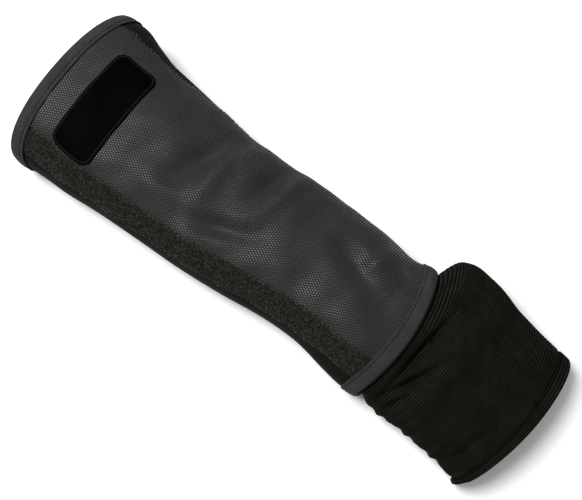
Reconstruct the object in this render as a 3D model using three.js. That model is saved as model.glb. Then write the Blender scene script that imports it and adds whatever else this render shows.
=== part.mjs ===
// A cut resistant arm sleeve: a sewn tube of guard cloth, bound with tape at both ends, with a
// ribbed knit cuff sewn into its narrow end. It lies on its back, flattened where it rests.
// Millimetres. X runs from the open, bound end (-X) to the knit hem (+X), and Z is up.
// The origin is on the floor under the sleeve, where the back panel rests.
import * as THREE from "three";

// Lengths along the sleeve, measured at its sides
const SHELL_LENGTH = 326;
const CUFF_LENGTH = 107.5;
const REST_FROM_OPEN = 222.5;

// Widths and heights across it, as it lies
const OPEN_WIDTH = 150;
const OPEN_HEIGHT = 72;
const CUFF_WIDTH = 136;
const CUFF_HEIGHT = 55;

// How far each end bulges beyond its sides, and how far its far side runs past the band side
const OPEN_BOW = 6;
const OPEN_SKEW = 11;
const JOIN_BOW = 11;
const JOIN_SKEW = 11;
const HEM_TOP_BOW = 13;
const HEM_UNDER_BOW = 3;
const HEM_SKEW = 10;

// Cloth, tape and seams
const SHELL_WALL = 2;
const KNIT_WALL = 1.5;
const TAPE_WALL = 1.2;
const BINDING_WIDTH = 12.5;
const BAND_WIDTH = 22;
const HEM_WIDTH = 8;
const TUCK = 4;
const FLARE = 11;
const GAP = 0.35;

// Where the two long seams of the front panel run, measured round the cloth from the crown
const NEAR_SEAM_AT_OPEN = 55;
const NEAR_SEAM_AT_JOIN = 32;
const FAR_SEAM_AT_OPEN = 59;
const FAR_SEAM_AT_JOIN = 86;

// Label
const LABEL_LENGTH = 90;
const LABEL_WIDTH = 38;
const LABEL_CORNER = 8;
const LABEL_WALL = 1;
const LABEL_FROM_OPEN = 47;
const LABEL_PAST_CROWN = 4;
const LABEL_TURN = 3.5;

// Section shape: corners of the upper and lower half, how far the round form sinks into the
// floor, and the rounding where the cloth turns up off it
const UPPER_CORNER = 2.45;
const LOWER_CORNER = 3.2;
const WIDEST_AT = 0.46;
const SINK = 8;
const REST_ROUND = 3;
const LIFT_RUN = 26;

// Mesh steps
const FRONT_COLUMNS = 18;
const BAND_COLUMNS = 3;
const BACK_COLUMNS = 22;
const SHELL_ROWS = 22;
const CUFF_ROWS = 13;
const ARC_STEPS = 120;
const PLACE_PASSES = 3;

const OPEN_X = -REST_FROM_OPEN;
const JOIN_X = OPEN_X + SHELL_LENGTH;
const HEM_X = JOIN_X + CUFF_LENGTH;
const TAPE_STAND = GAP + TAPE_WALL;
const KNIT_INSET = SHELL_WALL + GAP + TAPE_WALL + GAP;

// Sections of the shell. at: share of SHELL_LENGTH from the open end. band_side, far_side: reach
// toward -Y and +Y, as shares of OPEN_WIDTH. height: share of OPEN_HEIGHT.
const SHELL_SECTIONS = [
  { at: -0.04, band_side: 0.547, far_side: 0.400, height: 0.97 },
  { at: 0.00, band_side: 0.560, far_side: 0.420, height: 1.00 },
  { at: 0.05, band_side: 0.550, far_side: 0.430, height: 1.00 },
  { at: 0.10, band_side: 0.538, far_side: 0.400, height: 0.99 },
  { at: 0.16, band_side: 0.528, far_side: 0.370, height: 0.97 },
  { at: 0.25, band_side: 0.498, far_side: 0.357, height: 0.94 },
  { at: 0.38, band_side: 0.468, far_side: 0.337, height: 0.90 },
  { at: 0.50, band_side: 0.443, far_side: 0.337, height: 0.88 },
  { at: 0.62, band_side: 0.403, far_side: 0.360, height: 0.85 },
  { at: 0.73, band_side: 0.357, far_side: 0.373, height: 0.83 },
  { at: 0.83, band_side: 0.340, far_side: 0.377, height: 0.83 },
  { at: 0.92, band_side: 0.359, far_side: 0.377, height: 0.81 },
  { at: 0.97, band_side: 0.366, far_side: 0.388, height: 0.79 },
  { at: 1.01, band_side: 0.354, far_side: 0.378, height: 0.78 },
  { at: 1.06, band_side: 0.346, far_side: 0.368, height: 0.78 },
];

// Sections of the cuff, as shares of CUFF_LENGTH, CUFF_WIDTH and CUFF_HEIGHT
const CUFF_SECTIONS = [
  { at: -0.15, band_side: 0.400, far_side: 0.450, height: 1.03 },
  { at: 0.00, band_side: 0.390, far_side: 0.560, height: 1.02 },
  { at: 0.13, band_side: 0.388, far_side: 0.612, height: 1.00 },
  { at: 0.27, band_side: 0.392, far_side: 0.614, height: 0.96 },
  { at: 0.40, band_side: 0.380, far_side: 0.603, height: 0.93 },
  { at: 0.58, band_side: 0.379, far_side: 0.572, height: 0.86 },
  { at: 0.81, band_side: 0.386, far_side: 0.550, height: 0.76 },
  { at: 0.99, band_side: 0.412, far_side: 0.544, height: 0.67 },
  { at: 1.16, band_side: 0.420, far_side: 0.534, height: 0.62 },
];

// Folds of the shell. at: share of SHELL_LENGTH. around: from the crown toward the band side, and
// width: half of the fold's width, both shares of OPEN_WIDTH. turn: degrees from the X axis toward
// the band side. length: half of the fold's length, share of SHELL_LENGTH. rise: share of
// OPEN_HEIGHT, below 0 in a valley.
const SHELL_FOLDS = [
  { at: 0.41, around: -0.15, turn: 106, length: 0.105, width: 0.065, rise: -0.075 },
  { at: 0.45, around: -0.04, turn: 84, length: 0.085, width: 0.055, rise: 0.035 },
  { at: 0.35, around: 0.16, turn: 0, length: 0.065, width: 0.075, rise: 0.030 },
  { at: 0.56, around: -0.21, turn: 97, length: 0.070, width: 0.055, rise: -0.075 },
  { at: 0.60, around: -0.20, turn: 95, length: 0.065, width: 0.045, rise: 0.025 },
  { at: 0.54, around: 0.14, turn: -18, length: 0.085, width: 0.055, rise: -0.050 },
  { at: 0.83, around: -0.10, turn: 17, length: 0.085, width: 0.050, rise: -0.065 },
  { at: 0.87, around: -0.20, turn: 110, length: 0.050, width: 0.045, rise: 0.030 },
  { at: 0.94, around: -0.31, turn: 60, length: 0.060, width: 0.070, rise: -0.055 },
  { at: 0.91, around: 0.17, turn: 0, length: 0.075, width: 0.100, rise: 0.030 },
  { at: 0.94, around: 0.38, turn: -10, length: 0.075, width: 0.045, rise: -0.035 },
];

// Folds of the cuff, as shares of CUFF_LENGTH, CUFF_WIDTH and CUFF_HEIGHT
const CUFF_FOLDS = [
  { at: 0.21, around: 0.12, turn: 93, length: 0.31, width: 0.055, rise: -0.080 },
  { at: 0.30, around: 0.31, turn: 112, length: 0.29, width: 0.055, rise: -0.090 },
  { at: 0.33, around: 0.46, turn: 110, length: 0.15, width: 0.050, rise: -0.060 },
  { at: 0.42, around: 0.05, turn: 100, length: 0.30, width: 0.080, rise: 0.050 },
  { at: 0.86, around: 0.29, turn: 105, length: 0.27, width: 0.060, rise: -0.060 },
  { at: 0.62, around: -0.22, turn: 75, length: 0.30, width: 0.090, rise: -0.040 },
];

const SHELL = {
  start: OPEN_X,
  length: SHELL_LENGTH,
  width: OPEN_WIDTH,
  height: OPEN_HEIGHT,
  sections: SHELL_SECTIONS,
  folds: SHELL_FOLDS,
};
const CUFF = {
  start: JOIN_X,
  length: CUFF_LENGTH,
  width: CUFF_WIDTH,
  height: CUFF_HEIGHT,
  sections: CUFF_SECTIONS,
  folds: CUFF_FOLDS,
};

// Where the three ends of cloth lie. A turn of 0 is the crown, and a quarter turn the band side.
const openX = (turn) => OPEN_X + (OPEN_SKEW / 2) * Math.sin(turn) - OPEN_BOW * Math.cos(turn) ** 2;
const joinX = (turn) => JOIN_X + (JOIN_SKEW / 2) * Math.sin(turn) + JOIN_BOW * Math.cos(turn) ** 2;
const hemX = (turn) => {
  const bow = Math.cos(turn) > 0 ? HEM_TOP_BOW : HEM_UNDER_BOW;
  return HEM_X - (HEM_SKEW / 2) * Math.sin(turn) + bow * Math.abs(Math.cos(turn)) ** 1.5;
};

const smooth = (value) => {
  const t = THREE.MathUtils.clamp(value, 0, 1);
  return t * t * (3 - 2 * t);
};

// A smooth curve through one column of a table of sections
function along(sections, column, at) {
  const last = sections.length - 1;
  const place = THREE.MathUtils.clamp(at, sections[0].at, sections[last].at);
  let i = 0;
  while (i < last - 1 && place > sections[i + 1].at) i += 1;
  const slope = (k) => {
    const a = sections[Math.max(k - 1, 0)];
    const b = sections[Math.min(k + 1, last)];
    return (b[column] - a[column]) / (b.at - a.at);
  };
  const run = sections[i + 1].at - sections[i].at;
  const t = (place - sections[i].at) / run;
  const from = sections[i][column];
  const to = sections[i + 1][column];
  const curve = (2 * t ** 3 - 3 * t ** 2 + 1) * from + (3 * t ** 2 - 2 * t ** 3) * to;
  return curve + run * ((t ** 3 - 2 * t ** 2 + t) * slope(i) + (t ** 3 - t ** 2) * slope(i + 1));
}

// The cloth lies a tape's thickness off the floor near a binding, so that the tape rests on it
function floorUnder(x, turn) {
  const fromOpen = Math.abs(x - openX(turn));
  const fromJoin = Math.abs(x - joinX(turn));
  const away = Math.min(fromOpen, fromJoin) - BINDING_WIDTH;
  return TAPE_STAND * (1 - smooth(away / LIFT_RUN));
}

// A height that runs out smoothly into the floor
function restOn(floor, z) {
  const above = z - floor;
  if (above > REST_ROUND) return z;
  return floor + Math.max(above + REST_ROUND, 0) ** 2 / (4 * REST_ROUND);
}

// One point of the round section without folds: [y, z]
function bareSection(form, x, turn, floor) {
  const at = (x - form.start) / form.length;
  const bandSide = form.width * along(form.sections, "band_side", at);
  const farSide = form.width * along(form.sections, "far_side", at);
  const height = form.height * along(form.sections, "height", at);
  const across = Math.sin(turn);
  const up = Math.cos(turn);
  const corner = up > 0 ? UPPER_CORNER : LOWER_CORNER;
  const reach = (Math.abs(across) ** corner + Math.abs(up) ** corner) ** (-1 / corner);
  const widest = WIDEST_AT * height;
  const half = up > 0 ? height - widest : widest + SINK;
  const y = (farSide - bandSide) / 2 - ((farSide + bandSide) / 2) * across * reach;
  return [y, restOn(floor, widest + half * up * reach)];
}

// Lengths round the bare section at x, from the underside's middle to the same place again
function arcTable(form, x) {
  const turns = [];
  const arcs = [0];
  let before = null;
  for (let i = 0; i <= ARC_STEPS; i += 1) {
    const turn = -Math.PI + (2 * Math.PI * i) / ARC_STEPS;
    const here = bareSection(form, x, turn, 0);
    turns.push(turn);
    if (before) arcs.push(arcs[i - 1] + Math.hypot(here[0] - before[0], here[1] - before[1]));
    before = here;
  }
  const crown = arcs[ARC_STEPS / 2];
  return { turns, arcs: arcs.map((arc) => arc - crown) };
}

function lookUp(from, to, value) {
  let i = 0;
  while (i < from.length - 2 && value > from[i + 1]) i += 1;
  const t = (value - from[i]) / (from[i + 1] - from[i]);
  return to[i] + t * (to[i + 1] - to[i]);
}

// The turn at a length round the cloth from the crown, and the length at a turn
const turnAt = (form, x, arc) => {
  const table = arcTable(form, x);
  return lookUp(table.arcs, table.turns, arc);
};
const arcAt = (form, x, turn) => {
  const table = arcTable(form, x);
  const wrapped = turn > Math.PI ? turn - 2 * Math.PI : turn;
  return lookUp(table.turns, table.arcs, wrapped);
};

// How far the folds lift the cloth off its bare section
function foldRise(form, x, turn) {
  const arc = arcAt(form, x, turn);
  let rise = 0;
  for (const fold of form.folds) {
    const dx = x - (form.start + fold.at * form.length);
    const dw = arc - fold.around * form.width;
    const angle = THREE.MathUtils.degToRad(fold.turn);
    const alongFold = dx * Math.cos(angle) + dw * Math.sin(angle);
    const acrossFold = dw * Math.cos(angle) - dx * Math.sin(angle);
    const fade = (alongFold / (fold.length * form.length)) ** 2;
    const shape = (acrossFold / (fold.width * form.width)) ** 2;
    rise += fold.rise * form.height * Math.exp(-fade - shape);
  }
  return rise;
}

// The outward direction of the section at a turn, in the plane across the sleeve
function outward(form, x, turn, floor) {
  const step = 0.02;
  const [y0, z0] = bareSection(form, x, turn - step, floor);
  const [y1, z1] = bareSection(form, x, turn + step, floor);
  return new THREE.Vector3(0, z0 - z1, y1 - y0).normalize().negate();
}

// A point of the shell's outer face, or at a distance off it: below 0 is inside the sleeve
function shellPoint(x, turn, off = 0) {
  const floor = floorUnder(x, turn);
  const [y, z] = bareSection(SHELL, x, turn, floor);
  const rise = foldRise(SHELL, x, turn) + off;
  return new THREE.Vector3(x, y, z).addScaledVector(outward(SHELL, x, turn, floor), rise);
}

// A point of the knit's outer face: it comes out from inside the binding and flares to the cuff
function knitPoint(x, turn) {
  const inside = shellPoint(x, turn, -KNIT_INSET);
  const [y, z] = bareSection(CUFF, x, turn, 0);
  const free = new THREE.Vector3(x, y, z);
  free.addScaledVector(outward(CUFF, x, turn, 0), foldRise(CUFF, x, turn));
  return inside.lerp(free, smooth((x - joinX(turn)) / FLARE));
}

function knitInside(x, turn, wall) {
  const step = 0.5;
  const swing = 0.02;
  const lengthways = knitPoint(x + step, turn).sub(knitPoint(x - step, turn));
  const round = knitPoint(x, turn + swing).sub(knitPoint(x, turn - swing));
  const out = lengthways.cross(round).normalize();
  if (out.dot(outward(CUFF, x, turn, 0)) < 0) out.negate();
  return knitPoint(x, turn).addScaledVector(out, -wall);
}

// Columns of the mesh run along the sleeve, with one on each long seam
const nearSeam = (share) => THREE.MathUtils.lerp(NEAR_SEAM_AT_OPEN, NEAR_SEAM_AT_JOIN, share);
const farSeam = (share) => -THREE.MathUtils.lerp(FAR_SEAM_AT_OPEN, FAR_SEAM_AT_JOIN, share);

// The turns of the four edges of the panels at x, each moved by half a gap where panels meet
function seamTurns(x) {
  const share = THREE.MathUtils.clamp((x - OPEN_X) / SHELL_LENGTH, 0, 1);
  const near = nearSeam(share);
  const far = farSeam(share);
  return {
    far: turnAt(SHELL, x, far),
    near: turnAt(SHELL, x, near),
    low: turnAt(SHELL, x, near + BAND_WIDTH),
    clearance: GAP / 2,
  };
}

// Turns of a panel's columns at x, from one seam to the next
function panelTurns(from, to, columns) {
  const turns = [];
  for (let i = 0; i <= columns; i += 1) turns.push(from + ((to - from) * i) / columns);
  return turns;
}

// Turns of all columns round the sleeve at x, with the last one left out where the ring closes
function ringTurns(x) {
  const seams = seamTurns(x);
  const front = panelTurns(seams.far, seams.near, FRONT_COLUMNS);
  const band = panelTurns(seams.near, seams.low, BAND_COLUMNS);
  const back = panelTurns(seams.low, seams.far + 2 * Math.PI, BACK_COLUMNS);
  return [...front.slice(0, -1), ...band.slice(0, -1), ...back.slice(0, -1)];
}

// The places of one ring of mesh points whose x leans with an end of the sleeve
function ringPlaces(xAt) {
  return ringTurns(xAt(0)).map((first, column) => {
    let turn = first;
    for (let pass = 0; pass < PLACE_PASSES; pass += 1) turn = ringTurns(xAt(turn))[column];
    return { x: xAt(turn), turn };
  });
}

// A closed mesh from points and the numbers of each triangle's points, turned to face out
function closedGeometry(points, triangles) {
  let volume = 0;
  for (const [a, b, c] of triangles) {
    volume += points[a].dot(new THREE.Vector3().crossVectors(points[b], points[c]));
  }
  const faces = volume < 0 ? triangles.map(([a, b, c]) => [a, c, b]) : triangles;
  const geometry = new THREE.BufferGeometry();
  const numbers = points.flatMap((point) => point.toArray());
  geometry.setAttribute("position", new THREE.Float32BufferAttribute(numbers, 3));
  geometry.setIndex(faces.flat());
  geometry.computeVertexNormals();
  return geometry;
}

// A wall between two grids of points with as many rows and columns, joined along its edges
function wallGeometry(outer, inner, ring) {
  const rows = outer.length;
  const columns = outer[0].length;
  const points = [...outer.flat(), ...inner.flat()];
  const place = (side, row, column) => side * rows * columns + row * columns + (column % columns);
  const triangles = [];
  const quad = (a, b, c, d) => triangles.push([a, b, c], [a, c, d]);
  const steps = ring ? columns : columns - 1;
  for (let r = 0; r < rows - 1; r += 1) {
    for (let c = 0; c < steps; c += 1) {
      quad(place(0, r, c), place(0, r + 1, c), place(0, r + 1, c + 1), place(0, r, c + 1));
      quad(place(1, r, c), place(1, r, c + 1), place(1, r + 1, c + 1), place(1, r + 1, c));
    }
  }
  for (let c = 0; c < steps; c += 1) {
    const end = rows - 1;
    quad(place(0, 0, c), place(0, 0, c + 1), place(1, 0, c + 1), place(1, 0, c));
    quad(place(0, end, c), place(1, end, c), place(1, end, c + 1), place(0, end, c + 1));
  }
  if (!ring) {
    for (let r = 0; r < rows - 1; r += 1) {
      const end = columns - 1;
      quad(place(0, r, 0), place(1, r, 0), place(1, r + 1, 0), place(0, r + 1, 0));
      quad(place(0, r, end), place(0, r + 1, end), place(1, r + 1, end), place(1, r, end));
    }
  }
  return closedGeometry(points, triangles);
}

// A ring whose cut across the tape is a closed outline: one loop of points for each corner of it.
// Each quad is split from its end of lower x, as a panel's quads are, so that they lie alike.
function tapeGeometry(loops) {
  const corners = loops.length;
  const columns = loops[0].length;
  const place = (k, j) => (k % corners) * columns + (j % columns);
  const triangles = [];
  for (let k = 0; k < corners; k += 1) {
    for (let j = 0; j < columns; j += 1) {
      const [a, b, c, d] = [place(k, j), place(k + 1, j), place(k + 1, j + 1), place(k, j + 1)];
      const rising = loops[k][j].x < loops[(k + 1) % corners][j].x;
      triangles.push(...(rising ? [[a, b, c], [a, c, d]] : [[b, c, d], [b, d, a]]));
    }
  }
  return closedGeometry(loops.flat(), triangles);
}

// Rows of the shell: one at each end, one at each binding's inner edge, and even ones between
function shellRows(turn) {
  const first = openX(turn) + TAPE_STAND;
  const last = joinX(turn) - TAPE_STAND;
  const from = openX(turn) + BINDING_WIDTH;
  const to = joinX(turn) - BINDING_WIDTH;
  const rows = [first];
  for (let i = 0; i <= SHELL_ROWS; i += 1) rows.push(from + ((to - from) * i) / SHELL_ROWS);
  return [...rows, last];
}

// One panel of the shell, between two seams, with half a gap left at each
function panelGeometry(columns, edges) {
  const rowCount = shellRows(0).length;
  const outer = [];
  const inner = [];
  for (let r = 0; r < rowCount; r += 1) {
    const outerRow = [];
    const innerRow = [];
    for (let c = 0; c <= columns; c += 1) {
      const [x, turn] = panelPlace(r, c / columns, edges);
      outerRow.push(shellPoint(x, turn));
      innerRow.push(shellPoint(x, turn, -SHELL_WALL));
    }
    outer.push(outerRow);
    inner.push(innerRow);
  }
  return wallGeometry(outer, inner, false);
}

// The place of a panel's mesh point: its row gives x, which leans with the ends of the sleeve
function panelPlace(row, share, edges) {
  let turn = 0;
  let x = shellRows(0)[row];
  for (let pass = 0; pass < PLACE_PASSES; pass += 1) {
    const [from, to] = edges(x);
    turn = from + (to - from) * share;
    x = shellRows(turn)[row];
  }
  return [x, turn];
}

const perTurn = (x, turn) => {
  const table = arcTable(SHELL, x);
  const step = 0.05;
  const wrapped = turn > Math.PI ? turn - 2 * Math.PI : turn;
  const more = lookUp(table.turns, table.arcs, wrapped + step);
  return (more - lookUp(table.turns, table.arcs, wrapped)) / step;
};

function frontPanel() {
  const edges = (x) => {
    const seams = seamTurns(x);
    const farGap = seams.clearance / perTurn(x, seams.far);
    const nearGap = seams.clearance / perTurn(x, seams.near);
    return [seams.far + farGap, seams.near - nearGap];
  };
  return panelGeometry(FRONT_COLUMNS, edges);
}

function sideBand() {
  const edges = (x) => {
    const seams = seamTurns(x);
    const nearGap = seams.clearance / perTurn(x, seams.near);
    const lowGap = seams.clearance / perTurn(x, seams.low);
    return [seams.near + nearGap, seams.low - lowGap];
  };
  return panelGeometry(BAND_COLUMNS, edges);
}

function backPanel() {
  const edges = (x) => {
    const seams = seamTurns(x);
    const lowGap = seams.clearance / perTurn(x, seams.low);
    const farGap = seams.clearance / perTurn(x, seams.far);
    return [seams.low + lowGap, seams.far + 2 * Math.PI - farGap];
  };
  return panelGeometry(BACK_COLUMNS, edges);
}

// Tape folded over an end of the shell. inward is +1 at the open end and -1 at the wrist end.
function bindingGeometry(endX, inward) {
  const under = GAP;
  const over = GAP + TAPE_WALL;
  const deep = -SHELL_WALL - GAP;
  const deepest = deep - TAPE_WALL;
  const outline = [
    [0, over],
    [BINDING_WIDTH, over],
    [BINDING_WIDTH, under],
    [TAPE_WALL, under],
    [TAPE_WALL, deep],
    [BINDING_WIDTH, deep],
    [BINDING_WIDTH, deepest],
    [0, deepest],
  ];
  const loops = outline.map(([back, off]) =>
    ringPlaces((turn) => endX(turn) + inward * back).map(({ x, turn }) => shellPoint(x, turn, off)),
  );
  return tapeGeometry(loops);
}

// The knit: tucked inside the binding, flaring out beyond it, and turned under at the hem
function knitRows(turn) {
  const start = joinX(turn) - BINDING_WIDTH - TUCK;
  const join = joinX(turn);
  const hem = hemX(turn);
  const from = join + GAP;
  const to = hem - HEM_WIDTH;
  const rows = [
    { x: start, wall: KNIT_WALL },
    { x: join - BINDING_WIDTH, wall: KNIT_WALL },
  ];
  for (let i = 0; i <= CUFF_ROWS; i += 1) {
    rows.push({ x: from + ((to - from) * i) / CUFF_ROWS, wall: KNIT_WALL });
  }
  rows.push({ x: to + KNIT_WALL / 2, wall: 2 * KNIT_WALL });
  rows.push({ x: hem, wall: 2 * KNIT_WALL });
  return rows;
}

function knitCuff() {
  const rowCount = knitRows(0).length;
  const outer = [];
  const inner = [];
  for (let r = 0; r < rowCount; r += 1) {
    const places = ringPlaces((turn) => knitRows(turn)[r].x);
    outer.push(places.map(({ x, turn }) => knitPoint(x, turn)));
    inner.push(places.map(({ x, turn }) => knitInside(x, turn, knitRows(turn)[r].wall)));
  }
  return wallGeometry(outer, inner, true);
}

// The label: a rounded rectangle of thin sheet laid on the front panel across the sleeve
function labelStations() {
  const cornerSteps = 4;
  const middleSteps = 12;
  const straight = LABEL_LENGTH / 2 - LABEL_CORNER;
  const stations = [];
  for (let i = 0; i < cornerSteps; i += 1) {
    const turn = (Math.PI / 2) * (i / cornerSteps);
    const half = LABEL_WIDTH / 2 - LABEL_CORNER + LABEL_CORNER * Math.sin(turn);
    stations.push({ place: -straight - LABEL_CORNER * Math.cos(turn), half });
  }
  for (let i = 0; i <= middleSteps; i += 1) {
    stations.push({ place: straight * ((2 * i) / middleSteps - 1), half: LABEL_WIDTH / 2 });
  }
  const other = stations.slice(0, cornerSteps).reverse();
  return [...stations, ...other.map(({ place, half }) => ({ place: -place, half }))];
}

function labelPatch() {
  const widthSteps = 4;
  const lean = THREE.MathUtils.degToRad(LABEL_TURN);
  const grid = (off) =>
    labelStations().map(({ place, half }) => {
      const row = [];
      for (let i = 0; i <= widthSteps; i += 1) {
        const side = half * ((2 * i) / widthSteps - 1);
        const x = OPEN_X + LABEL_FROM_OPEN + side * Math.cos(lean) + place * Math.sin(lean);
        const arc = LABEL_PAST_CROWN + place * Math.cos(lean) - side * Math.sin(lean);
        row.push(shellPoint(x, turnAt(SHELL, x, arc), off));
      }
      return row;
    });
  return wallGeometry(grid(GAP + LABEL_WALL), grid(GAP), false);
}

const sleeve = new THREE.Group();

function addPiece(name, geometry, color, roughness) {
  const material = new THREE.MeshStandardMaterial({ color, roughness, metalness: 0 });
  const mesh = new THREE.Mesh(geometry, material);
  mesh.name = name;
  sleeve.add(mesh);
}

addPiece("front_panel", frontPanel(), 0x33363a, 0.7);
addPiece("side_band", sideBand(), 0x23231c, 0.95);
addPiece("back_panel", backPanel(), 0x1d1d1b, 0.9);
addPiece("open_end_binding", bindingGeometry(openX, 1), 0x3a3a3a, 0.85);
addPiece("junction_binding", bindingGeometry(joinX, -1), 0x3a3a3a, 0.85);
addPiece("knit_cuff", knitCuff(), 0x15140f, 0.95);
addPiece("label_patch", labelPatch(), 0x060606, 0.45);

export default sleeve;
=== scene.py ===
# A cut resistant arm sleeve, lying on its back: a sewn tube of dotted guard cloth with a looped
# band along one side, tape over both ends, a ribbed knit cuff and a bare label.
# Metres, +Z up. X runs from the open, bound end to the knit hem.
import math

import bpy
import numpy as np
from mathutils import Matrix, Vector


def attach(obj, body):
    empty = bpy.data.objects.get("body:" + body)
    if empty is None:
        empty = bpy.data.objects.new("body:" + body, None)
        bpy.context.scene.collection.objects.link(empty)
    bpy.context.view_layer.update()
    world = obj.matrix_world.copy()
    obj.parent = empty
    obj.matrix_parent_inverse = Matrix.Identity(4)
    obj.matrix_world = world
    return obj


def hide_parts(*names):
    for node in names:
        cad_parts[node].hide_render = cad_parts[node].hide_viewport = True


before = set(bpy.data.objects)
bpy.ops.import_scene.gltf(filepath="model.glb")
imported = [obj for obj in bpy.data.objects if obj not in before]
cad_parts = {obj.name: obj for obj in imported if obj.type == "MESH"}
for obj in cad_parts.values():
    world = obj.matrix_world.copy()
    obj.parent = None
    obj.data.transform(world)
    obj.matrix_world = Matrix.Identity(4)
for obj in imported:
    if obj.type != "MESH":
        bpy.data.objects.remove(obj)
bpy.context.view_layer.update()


# Studio
# A plain pale floor under a large soft light, with an even white surround. The camera looks
# steeply down from the near side, a little toward the cuff, as in the photograph.
CAMERA_AZIMUTH = math.radians(40.3)
CAMERA_ELEVATION = math.radians(75)
CAMERA_DISTANCE = 0.670
CAMERA_TARGET = Vector((0, 0, 0.030))
CAMERA_LENS_MM = 53.3
SENSOR_WIDTH_MM = 36
FLOOR_HALF = 4.0
FLOOR_TONE = 0.78
SURROUND_STRENGTH = 0.54
KEY_WATTS = 54
KEY_SIZE = 1.0
KEY_DISTANCE = 1.9
KEY_ELEVATION = math.radians(62)
KEY_LEAN = -1.18
KEY_COLOR = (0.98, 0.99, 1.0)
FLOOR_ROUGHNESS = 0.9


def direction(azimuth, elevation):
    """The way from the sleeve toward an eye or a light at that azimuth and elevation."""
    level = math.cos(elevation)
    return Vector((math.sin(azimuth) * level, -math.cos(azimuth) * level, math.sin(elevation)))


def aim(holder, place, target):
    holder.location = place
    holder.rotation_mode = "QUATERNION"
    holder.rotation_quaternion = (target - place).to_track_quat("-Z", "Y")
    bpy.context.scene.collection.objects.link(holder)


camera_data = bpy.data.cameras.new("camera")
camera_data.sensor_fit = "HORIZONTAL"
camera_data.sensor_width = SENSOR_WIDTH_MM
camera_data.lens = CAMERA_LENS_MM
camera = bpy.data.objects.new("camera", camera_data)
to_camera = direction(CAMERA_AZIMUTH, CAMERA_ELEVATION)
aim(camera, CAMERA_TARGET + to_camera * CAMERA_DISTANCE, CAMERA_TARGET)
bpy.context.scene.camera = camera

key_data = bpy.data.lights.new("key", "AREA")
key_data.shape = "DISK"
key_data.size = KEY_SIZE
key_data.energy = KEY_WATTS
key_data.color = KEY_COLOR
key = bpy.data.objects.new("key", key_data)
to_key = direction(CAMERA_AZIMUTH + math.pi - KEY_LEAN, KEY_ELEVATION)
aim(key, CAMERA_TARGET + to_key * KEY_DISTANCE, CAMERA_TARGET)

world = bpy.data.worlds.new("surround")
world.use_nodes = True
world.node_tree.nodes["Background"].inputs["Color"].default_value = (1, 1, 1, 1)
world.node_tree.nodes["Background"].inputs["Strength"].default_value = SURROUND_STRENGTH
bpy.context.scene.world = world
bpy.context.scene.view_settings.view_transform = "Standard"


def add_node(tree, kind, inputs=None, **settings):
    """A node with its settings, and its inputs linked to sockets or set to values."""
    made = tree.nodes.new(kind)
    for name, value in settings.items():
        setattr(made, name, value)
    for name, value in (inputs or {}).items():
        if isinstance(value, bpy.types.NodeSocket):
            tree.links.new(value, made.inputs[name])
        else:
            made.inputs[name].default_value = value
    return made


def new_material(name, color, roughness, specular=0.5):
    """A material with its Principled shader, whose even values are set on the shader itself."""
    material = bpy.data.materials.new(name)
    material.use_nodes = True
    shader = material.node_tree.nodes["Principled BSDF"]
    shader.inputs["Base Color"].default_value = (*color, 1)
    shader.inputs["Roughness"].default_value = roughness
    shader.inputs["Specular IOR Level"].default_value = specular
    return material, material.node_tree, shader


def math_out(tree, operation, a, b=0.0):
    """The result of one math node."""
    return add_node(tree, "ShaderNodeMath", {0: a, 1: b}, operation=operation).outputs[0]


def spread(tree, value, low, high, to_low=0.0, to_high=1.0):
    """A value between two limits, spread over another range."""
    ends = {0: value, 1: low, 2: high, 3: to_low, 4: to_high}
    return add_node(tree, "ShaderNodeMapRange", ends).outputs[0]


def noise_out(tree, place, scale, detail, **more):
    """A noise at a place. Its scale is how many lumps it has to the metre."""
    inputs = {"Vector": place, "Scale": scale, "Detail": detail, **more}
    return add_node(tree, "ShaderNodeTexNoise", inputs).outputs["Fac"]


def ridges(tree, value, per):
    """Rounded ridges side by side, from 0 in the grooves between them to 1 on their crests."""
    wave = math_out(tree, "SINE", math_out(tree, "MULTIPLY", value, per))
    return math_out(tree, "ABSOLUTE", wave)


def tint(tree, shader, factor, dark, light):
    """Sets the shader's color between dark and light, by a factor."""
    color = add_node(tree, "ShaderNodeMix", {"Factor": factor}, data_type="RGBA")
    color.inputs["A"].default_value = (*dark, 1)
    color.inputs["B"].default_value = (*light, 1)
    tree.links.new(color.outputs["Result"], shader.inputs["Base Color"])


def relief(tree, shader, height, distance, strength):
    """Sets the shader's fine relief."""
    bump = add_node(tree, "ShaderNodeBump", {"Height": height, "Distance": distance, "Strength": strength})
    tree.links.new(bump.outputs[0], shader.inputs["Normal"])


floor_mesh = bpy.data.meshes.new("floor")
corners = [(-1, -1), (1, -1), (1, 1), (-1, 1)]
floor_mesh.from_pydata([(x * FLOOR_HALF, y * FLOOR_HALF, 0) for x, y in corners], [], [(0, 1, 2, 3)])
floor = bpy.data.objects.new("floor", floor_mesh)
bpy.context.scene.collection.objects.link(floor)
floor_mesh.materials.append(new_material("pale_floor", (FLOOR_TONE,) * 3, FLOOR_ROUGHNESS)[0])


# Front panel
# The guard panel is dense black woven cloth, cut as a long taper and sewn in along both its
# edges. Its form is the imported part's, a round tube that is flat where it rests, with deeper folds.
MM = 0.001
SHELL_LENGTH = 326 * MM
CUFF_LENGTH = 107.5 * MM
OPEN_X = -222.5 * MM
JOIN_X = OPEN_X + SHELL_LENGTH
HEM_X = JOIN_X + CUFF_LENGTH
OPEN_WIDTH = 150 * MM
OPEN_HEIGHT = 72 * MM
CUFF_WIDTH = 136 * MM
CUFF_HEIGHT = 55 * MM
OPEN_BOW = 6 * MM
OPEN_SKEW = 11 * MM
JOIN_BOW = 11 * MM
JOIN_SKEW = 11 * MM
HEM_TOP_BOW = 13 * MM
HEM_UNDER_BOW = 3 * MM
HEM_SKEW = 10 * MM
SHELL_WALL = 2 * MM
KNIT_WALL = 1.5 * MM
TAPE_WALL = 1.2 * MM
BINDING_WIDTH = 12.5 * MM
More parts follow.
